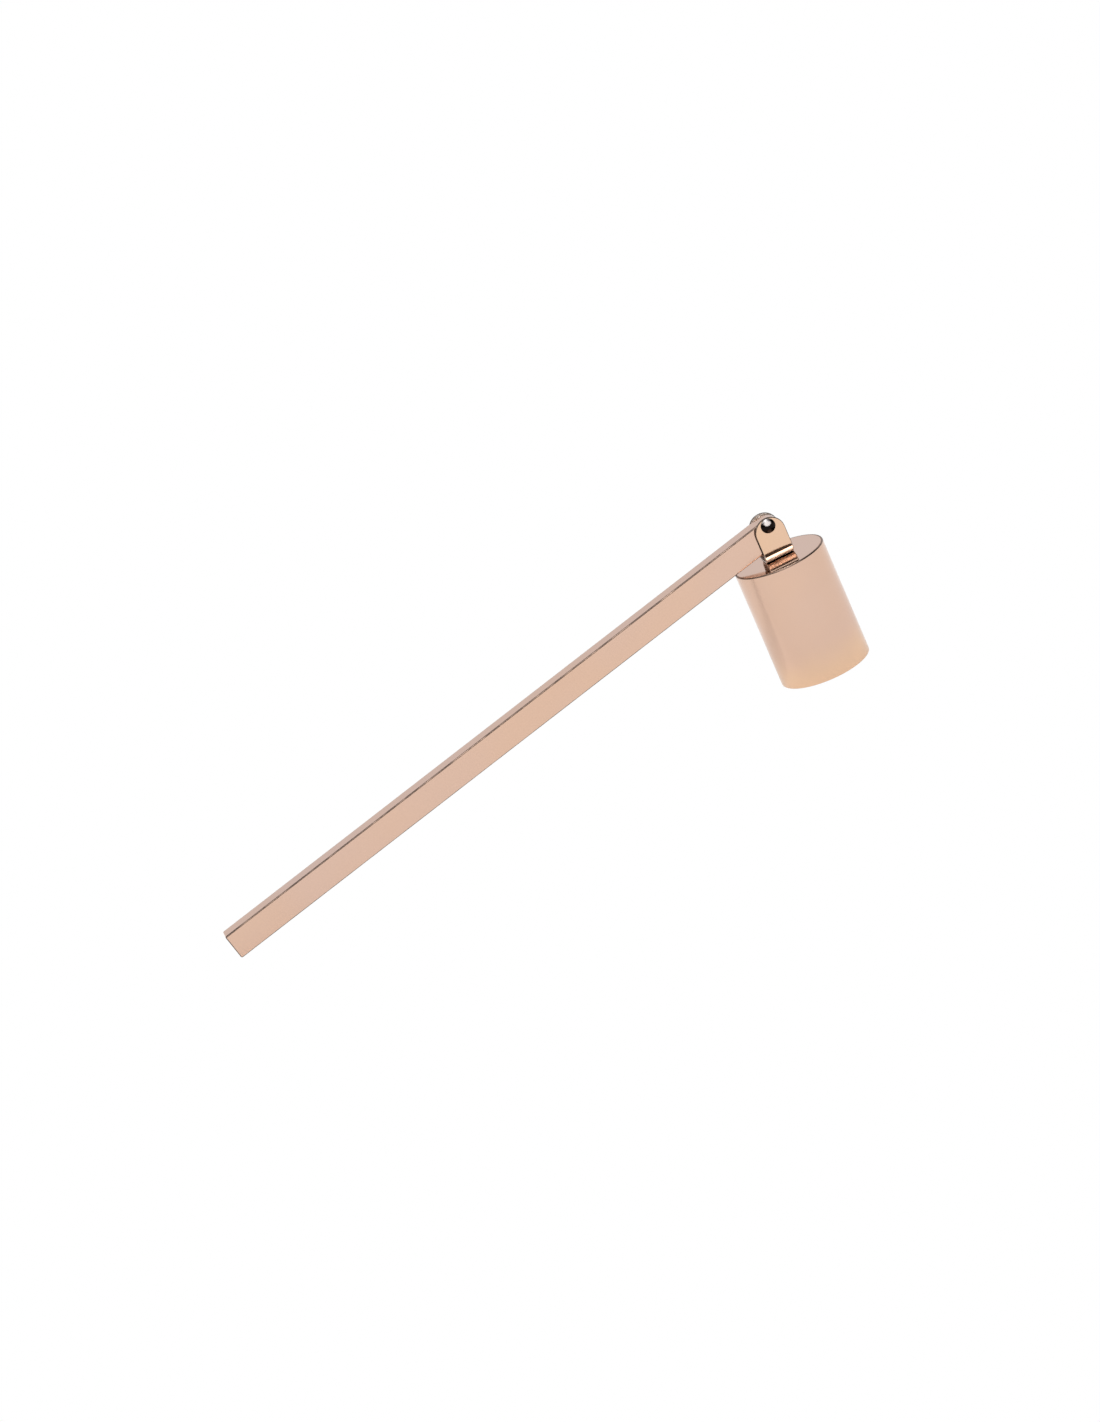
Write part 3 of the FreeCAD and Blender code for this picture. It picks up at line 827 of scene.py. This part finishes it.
# %% The strap tree
def make_strap_tree():
    """Points (half width, y, z) along a strap, spread across X into a surface."""
    tree, given, grid, point, share = start_tree("bent_strap", "Line", "Steps across", 11, "Strap")
    side = maths(tree, "SUBTRACT", maths(tree, "MULTIPLY", share, 2.0, (4, 3)), 1.0, (5, 3))
    parts = add_node(tree, "ShaderNodeSeparateXYZ", (5, 0))
    tree.links.new(point, parts.inputs[0])
    joined = add_node(tree, "ShaderNodeCombineXYZ", (7, 0))
    across = maths(tree, "MULTIPLY", parts.outputs["X"], side, (6, 1))
    tree.links.new(across, joined.inputs["X"])
    tree.links.new(parts.outputs["Y"], joined.inputs["Y"])
    tree.links.new(parts.outputs["Z"], joined.inputs["Z"])
    return finish_tree(tree, given, grid, joined.outputs[0], 8)


strap_tree = make_strap_tree()
print("strap tree:", len(strap_tree.nodes), "nodes")

# %% The line of the strap
BEND_RADIUS = 2.5 * MM
EAR_STEPS = 20
BEND_STEPS = 14
half_width = strap_high.x
half_depth = strap_high.y
ear_centre = strap_high.z - half_width
bend_top = strap_low.z + BEND_RADIUS


def ear_line():
    """(half width, y, z) from the top of the rear ear's round end to the foot of the bend."""
    points = []
    for step in range(EAR_STEPS + 1):
        angle = math.pi / 2 * (1 - step / EAR_STEPS)
        z = ear_centre + half_width * math.sin(angle)
        points.append((half_width * math.cos(angle), half_depth, z))
    points.append((half_width, half_depth, bend_top))
    for step in range(1, BEND_STEPS + 1):
        angle = math.pi / 2 * step / BEND_STEPS
        y = half_depth - BEND_RADIUS + BEND_RADIUS * math.cos(angle)
        points.append((half_width, y, bend_top - BEND_RADIUS * math.sin(angle)))
    return points


rear_half = ear_line()
front_half = [(half, -y, z) for half, y, z in reversed(rear_half)]
strap_line = rear_half + front_half
u_bracket = run_tree("u_bracket_bent", strap_line, strap_tree, rose_strap, steps_across=11)
print("strap line:", len(strap_line), "points")

# %% Holes, joined flats and rounded edges
def bake_modifiers(piece):
    """Replace a piece's mesh by its evaluated one and drop its modifiers."""
    graph = bpy.context.evaluated_depsgraph_get()
    mesh = bpy.data.meshes.new_from_object(piece.evaluated_get(graph), depsgraph=graph)
    piece.modifiers.clear()
    old = piece.data
    piece.data = mesh
    bpy.data.meshes.remove(old)


def drill(piece, centre, axis, radius, length):
    """Cut a round hole through a piece with an exact boolean, and keep the result as its mesh."""
    work = bmesh.new()
    turned = axis.to_track_quat("Z", "Y").to_matrix().to_4x4()
    bmesh.ops.create_cone(work, cap_ends=True, segments=48, radius1=radius, radius2=radius,
                          depth=length, matrix=Matrix.Translation(centre) @ turned)
    mesh = bpy.data.meshes.new("drill")
    work.to_mesh(mesh)
    work.free()
    cutter = add_object("drill", mesh)
    cut = piece.modifiers.new("hole", "BOOLEAN")
    cut.operation = "DIFFERENCE"
    cut.solver = "EXACT"
    cut.object = cutter
    bake_modifiers(piece)
    bpy.data.objects.remove(cutter)


def join_flats(piece):
    """Join faces that lie in one plane, so that a wide rounded edge has room beside it."""
    work = bmesh.new()
    work.from_mesh(piece.data)
    bmesh.ops.dissolve_limit(work, angle_limit=math.radians(0.5), verts=work.verts,
                             edges=work.edges)
    work.to_mesh(piece.data)
    work.free()


def round_edges(piece, width, sharper_than, harden=False):
    """Round every edge that turns by more than an angle in degrees."""
    soft = piece.modifiers.new("round_edges", "BEVEL")
    soft.width = width
    soft.segments = 4
    soft.limit_method = "ANGLE"
    soft.angle_limit = math.radians(sharper_than)
    soft.harden_normals = harden
    bake_modifiers(piece)


# %% From the strap to the bracket
EAR_EDGE_ROUND = 0.28 * MM
sheet = u_bracket.modifiers.new("sheet", "SOLIDIFY")
sheet.thickness = STRAP_THICK
sheet.use_even_offset = True
sheet.offset = 1.0
bake_modifiers(u_bracket)
if min(vertex.co.z for vertex in u_bracket.data.vertices) < strap_low.z - STRAP_THICK / 2:
    raise RuntimeError("the strap grew outwards")
join_flats(u_bracket)
drill(u_bracket, PIVOT, Vector((0, 1, 0)), PIN_RADIUS, 3 * half_depth)
drill(u_bracket, Vector((0, 0, strap_low.z)), Vector((0, 0, 1)), RIVET_RADIUS, 4 * STRAP_THICK)
print("bracket open edges:", close_up(u_bracket))
round_edges(u_bracket, EAR_EDGE_ROUND, 40, harden=True)
print("bracket faces:", len(u_bracket.data.polygons))

# %% Where the bracket has painted dark edge lines and satin faces
inner_side = half_depth - STRAP_THICK / 2
inner_base = strap_low.z + STRAP_THICK / 2


def is_strap_corner(centre, normal):
    """The cut edge of the sheet and its rounded corners."""
    return abs(normal.y) < 0.97 if centre.z > bend_top else abs(normal.x) > 0.15


def is_in_channel(centre, normal):
    """Faces inside the U."""
    return abs(centre.y) < inner_side and centre.z > inner_base and abs(normal.x) < 0.2


# The strap's cut edges get a painted dark line from both marks, standing in for the dark room
# mirrored in their rounding.
mark_faces(u_bracket, "painted_light_mark", is_strap_corner)
mark_faces(u_bracket, "satin_and_painted_highlight", is_in_channel)
mark_faces(u_bracket, "soot_and_dark_edge_mark", is_strap_corner)

# %% [markdown]
# ## The handle
# A solid bar, sawn square at the free end and rounded at the eye, where it is drilled for the pin.
# A box joined to a cylinder would show a seam where the two meet. So it is made as it is in the
# workshop: the side view is drawn and given its thickness, its edges are rounded, and the eye is
# drilled last, so the hole keeps a crisp edge under the washers.
# The outline is drawn with the pin at its origin and then tilted, as the CAD tilts it, until the
# corner of the free end rests on the table.

# %% The tilt of the handle at rest
REACH = 178.0 * MM
BAR_HEIGHT = 7.35 * MM
EYE_RISE = 2.1 * MM
EDGE_ROUND = 0.4 * MM
EYE_RADIUS = 0.9 * MM
BAR_THICK = bar_high.y - bar_low.y
corner_reach = REACH - EDGE_ROUND
corner_drop = EYE_RISE + BAR_HEIGHT / 2 - EDGE_ROUND
rest_tilt = (math.asin((PIVOT.z - EDGE_ROUND) / math.hypot(corner_reach, corner_drop))
             - math.atan2(corner_drop, corner_reach))
print("handle tilt at rest: %.2f degrees" % math.degrees(rest_tilt))

for node in rose_bar.node_tree.nodes:
    if node.type == "GROUP" and node.node_tree == marks_group:
        node.inputs["Tilt"].default_value = rest_tilt

# %% The outline and its solid
EYE_STEPS = 40
CORNER_ROUND = 0.45 * MM


def bar_outline():
    """The side of the bar, pin at the origin: a rectangle with a half-round eye end."""
    low = -EYE_RISE - BAR_HEIGHT / 2
    high = -EYE_RISE + BAR_HEIGHT / 2
    corners = rounded([(0, high, 0), (-REACH, high, CORNER_ROUND), (-REACH, low, CORNER_ROUND),
                       (0, low, 0)])
    points = [tuple(corner) for corner in corners[1:-1]]
    for step in range(EYE_STEPS + 1):
        angle = math.pi * (step / EYE_STEPS - 0.5)
        up = -EYE_RISE + BAR_HEIGHT / 2 * math.sin(angle)
        points.append((BAR_HEIGHT / 2 * math.cos(angle), up))
    return points


def flat_solid(name, outline, thickness, edge_round, finish):
    """A prism of a closed outline in the XZ plane, centred on Y, with its edges rounded."""
    work = bmesh.new()
    side = work.faces.new([work.verts.new((across, -thickness / 2, up)) for across, up in outline])
    grown = bmesh.ops.extrude_face_region(work, geom=[side])["geom"]
    far = [item for item in grown if isinstance(item, bmesh.types.BMVert)]
    bmesh.ops.translate(work, verts=far, vec=(0, thickness, 0))
    bmesh.ops.recalc_face_normals(work, faces=work.faces)
    mesh = bpy.data.meshes.new(name)
    work.to_mesh(mesh)
    work.free()
    mesh.materials.append(finish)
    piece = add_object(name, mesh)
    round_edges(piece, edge_round, 60)
    return piece


handle_bar = flat_solid("handle_bar_sawn", bar_outline(), BAR_THICK, EDGE_ROUND, rose_bar)
drill(handle_bar, Vector((0, 0, 0)), Vector((0, 1, 0)), EYE_RADIUS, 2 * BAR_THICK)
print("handle open edges:", close_up(handle_bar))
handle_bar.data.set_sharp_from_angle(angle=math.radians(50))
# A painted dark line along the bar's rounded edges, standing in for the dark room that they mirror.
mark_faces(handle_bar, "painted_light_mark", lambda centre, normal: 0.1 < abs(normal.y) < 0.97)
handle_bar.data.transform(Matrix.Translation(PIVOT) @ Matrix.Rotation(-rest_tilt, 4, "Y"))
keep_flats_flat(handle_bar)

# %% [markdown]
# ## What moves with what
# The handle is one body and everything on the cup's side of the hinge is the other. Each finished
# mesh says which body it rides on, which CAD node it stands for and which finish of the record it
# has.

# %% Rides, replacements and slots
stand_ins = [
    (handle_bar, "handle", "handle_bar", "rose_gold"),
    (u_bracket, "cup", "u_bracket", "rose_gold"),
    (hinge_pin, "cup", "hinge_pin", "dark_steel"),
    (cap_nut, "cup", "cap_nut", "dark_steel"),
    (hinge_washers["washer_front"], "cup", "washer_front", "washer_steel"),
    (hinge_washers["washer_rear"], "cup", "washer_rear", "washer_steel"),
    (cup_wall, "cup", "cup_wall", "rose_gold"),
    (cup_top, "cup", "cup_top", "rose_gold"),
    (cup_rivet, "cup", "cup_rivet", "rose_gold"),
    (backing_washer, "cup", "backing_washer", "washer_steel"),
]
for piece, body, node, slot in stand_ins:
    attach(piece, body)
    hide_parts(node)
print("pieces:", len(stand_ins))

# %% [markdown]
# ## Floor, light and camera
# Polished metal is lit by what surrounds it. A pale table fills the upright faces. It looks evenly
# white, as on a light table, while the metal still mirrors the soft shadows that lie on it. A wide
# soft light overhead and in front gives the bright bands on the bend, and a weaker one to the left
# brings out the pin's head and its painted highlight. Pale surroundings behind fill the top faces,
# and the dark room on the viewer's side gives the dark bands on the bend; the dark lines along the
# edges are painted.

# %% Floor
FLOOR_HALF = 6.0
FLOOR_DROP = 0.02 * MM       # a hair below the rim, so that the two faces don't fight
FLOOR_GREY = (0.60, 0.60, 0.60, 1)
FLOOR_ROUGHNESS = 0.9
FLOOR_GLOW = 0.36            # what the metal sees on top of the light that the table throws back


def make_floor():
    """A wide pale table that is plain white to the camera and shaded to everything else."""
    corners = [(x * FLOOR_HALF, y * FLOOR_HALF, -FLOOR_DROP)
               for x, y in ((-1, -1), (1, -1), (1, 1), (-1, 1))]
    mesh = bpy.data.meshes.new("floor")
    mesh.from_pydata(corners, [], [(0, 1, 2, 3)])
    floor = add_object("floor", mesh)
    material = bpy.data.materials.new("pale_table")
    material.use_nodes = True
    tree = material.node_tree
    shaded = tree.nodes["Principled BSDF"]
    shaded.inputs["Base Color"].default_value = FLOOR_GREY
    shaded.inputs["Roughness"].default_value = FLOOR_ROUGHNESS
    shaded.inputs["Specular IOR Level"].default_value = 0.0
    shaded.inputs["Emission Color"].default_value = (1.0, 1.0, 1.0, 1)
    shaded.inputs["Emission Strength"].default_value = FLOOR_GLOW
    glow = add_node(tree, "ShaderNodeEmission", (1, 1))
    seen = add_node(tree, "ShaderNodeLightPath", (1, 2))
    choose = add_node(tree, "ShaderNodeMixShader", (3, 0))
    tree.links.new(seen.outputs["Is Camera Ray"], choose.inputs[0])
    tree.links.new(shaded.outputs[0], choose.inputs[1])
    tree.links.new(glow.outputs[0], choose.inputs[2])
    tree.links.new(choose.outputs[0], tree.nodes["Material Output"].inputs["Surface"])
    mesh.materials.append(material)


make_floor()
print("floor: %.0f m across" % (2 * FLOOR_HALF))

# %% World
BEHIND = (0.84, 0.82, 0.84)
DARK_ROOM = (0.080, 0.076, 0.072)


def make_world():
    """Pale surroundings behind the object, a dark room on the viewer's side."""
    world = bpy.data.worlds.new("studio")
    bpy.context.scene.world = world
    world.use_nodes = True
    tree = world.node_tree
    where = add_node(tree, "ShaderNodeTexCoord", (0, 0))
    parts = add_node(tree, "ShaderNodeSeparateXYZ", (1, 0))
    tree.links.new(where.outputs["Generated"], parts.inputs[0])
    behind = spread(tree, parts.outputs["Y"], low=0.1, high=0.4, at=(2, 0))
    surroundings = blend(tree, behind, DARK_ROOM, BEHIND, (3, 0))
    tree.links.new(surroundings, tree.nodes["Background"].inputs["Color"])


make_world()
bpy.context.scene.view_settings.view_transform = "Standard"
print("world:", BEHIND, "behind,", DARK_ROOM, "in front")

# %% Soft lights
def soft_light(name, place, width, depth, radiance):
    """A soft rectangular light at a place, facing the cup, as bright to the metal as radiance."""
    light = bpy.data.lights.new(name, "AREA")
    light.shape = "RECTANGLE"
    light.size = width
    light.size_y = depth
    light.energy = radiance * math.pi * width * depth
    lamp = add_object(name, light)
    lamp.location = place
    lamp.rotation_euler = (-Vector(place)).to_track_quat("-Z", "Y").to_euler()
    print("light %s: %.1f W, %.2f m away" % (name, light.energy, lamp.location.length))


soft_light("overhead", (0.05, -0.70, 1.50), width=1.0, depth=1.5, radiance=4.5)
soft_light("left", (-0.90, -0.75, 0.95), width=1.5, depth=1.0, radiance=1.8)

# %% Camera
AZIMUTH, ELEVATION, ROLL = (math.radians(angle) for angle in (-6.11, 17.04, 24.38))
DISTANCE = 1.0501
LOOK_AT = Vector((-0.0721, 0.0, 0.02264))
LENS = 101.27
SENSOR_WIDTH = 36
NEAR, FAR = 0.05, 30


def make_camera():
    """A long lens, looking down a little from the front, rolled so that the handle climbs."""
    toward = Vector((math.sin(AZIMUTH) * math.cos(ELEVATION),
                     -math.cos(AZIMUTH) * math.cos(ELEVATION), math.sin(ELEVATION)))
    right = Vector((math.cos(AZIMUTH), math.sin(AZIMUTH), 0))
    up = toward.cross(right)
    across = math.cos(ROLL) * right - math.sin(ROLL) * up
    upward = math.sin(ROLL) * right + math.cos(ROLL) * up
    data = bpy.data.cameras.new("camera")
    data.lens = LENS
    data.sensor_width = SENSOR_WIDTH
    data.clip_start = NEAR
    data.clip_end = FAR
    camera = add_object("camera", data)
    turned = Matrix((across, upward, toward)).transposed().to_4x4()
    camera.matrix_world = Matrix.Translation(LOOK_AT + toward * DISTANCE) @ turned
    bpy.context.scene.camera = camera


make_camera()
print("camera: %.2f m away, lens of %.0f mm" % (DISTANCE, LENS))
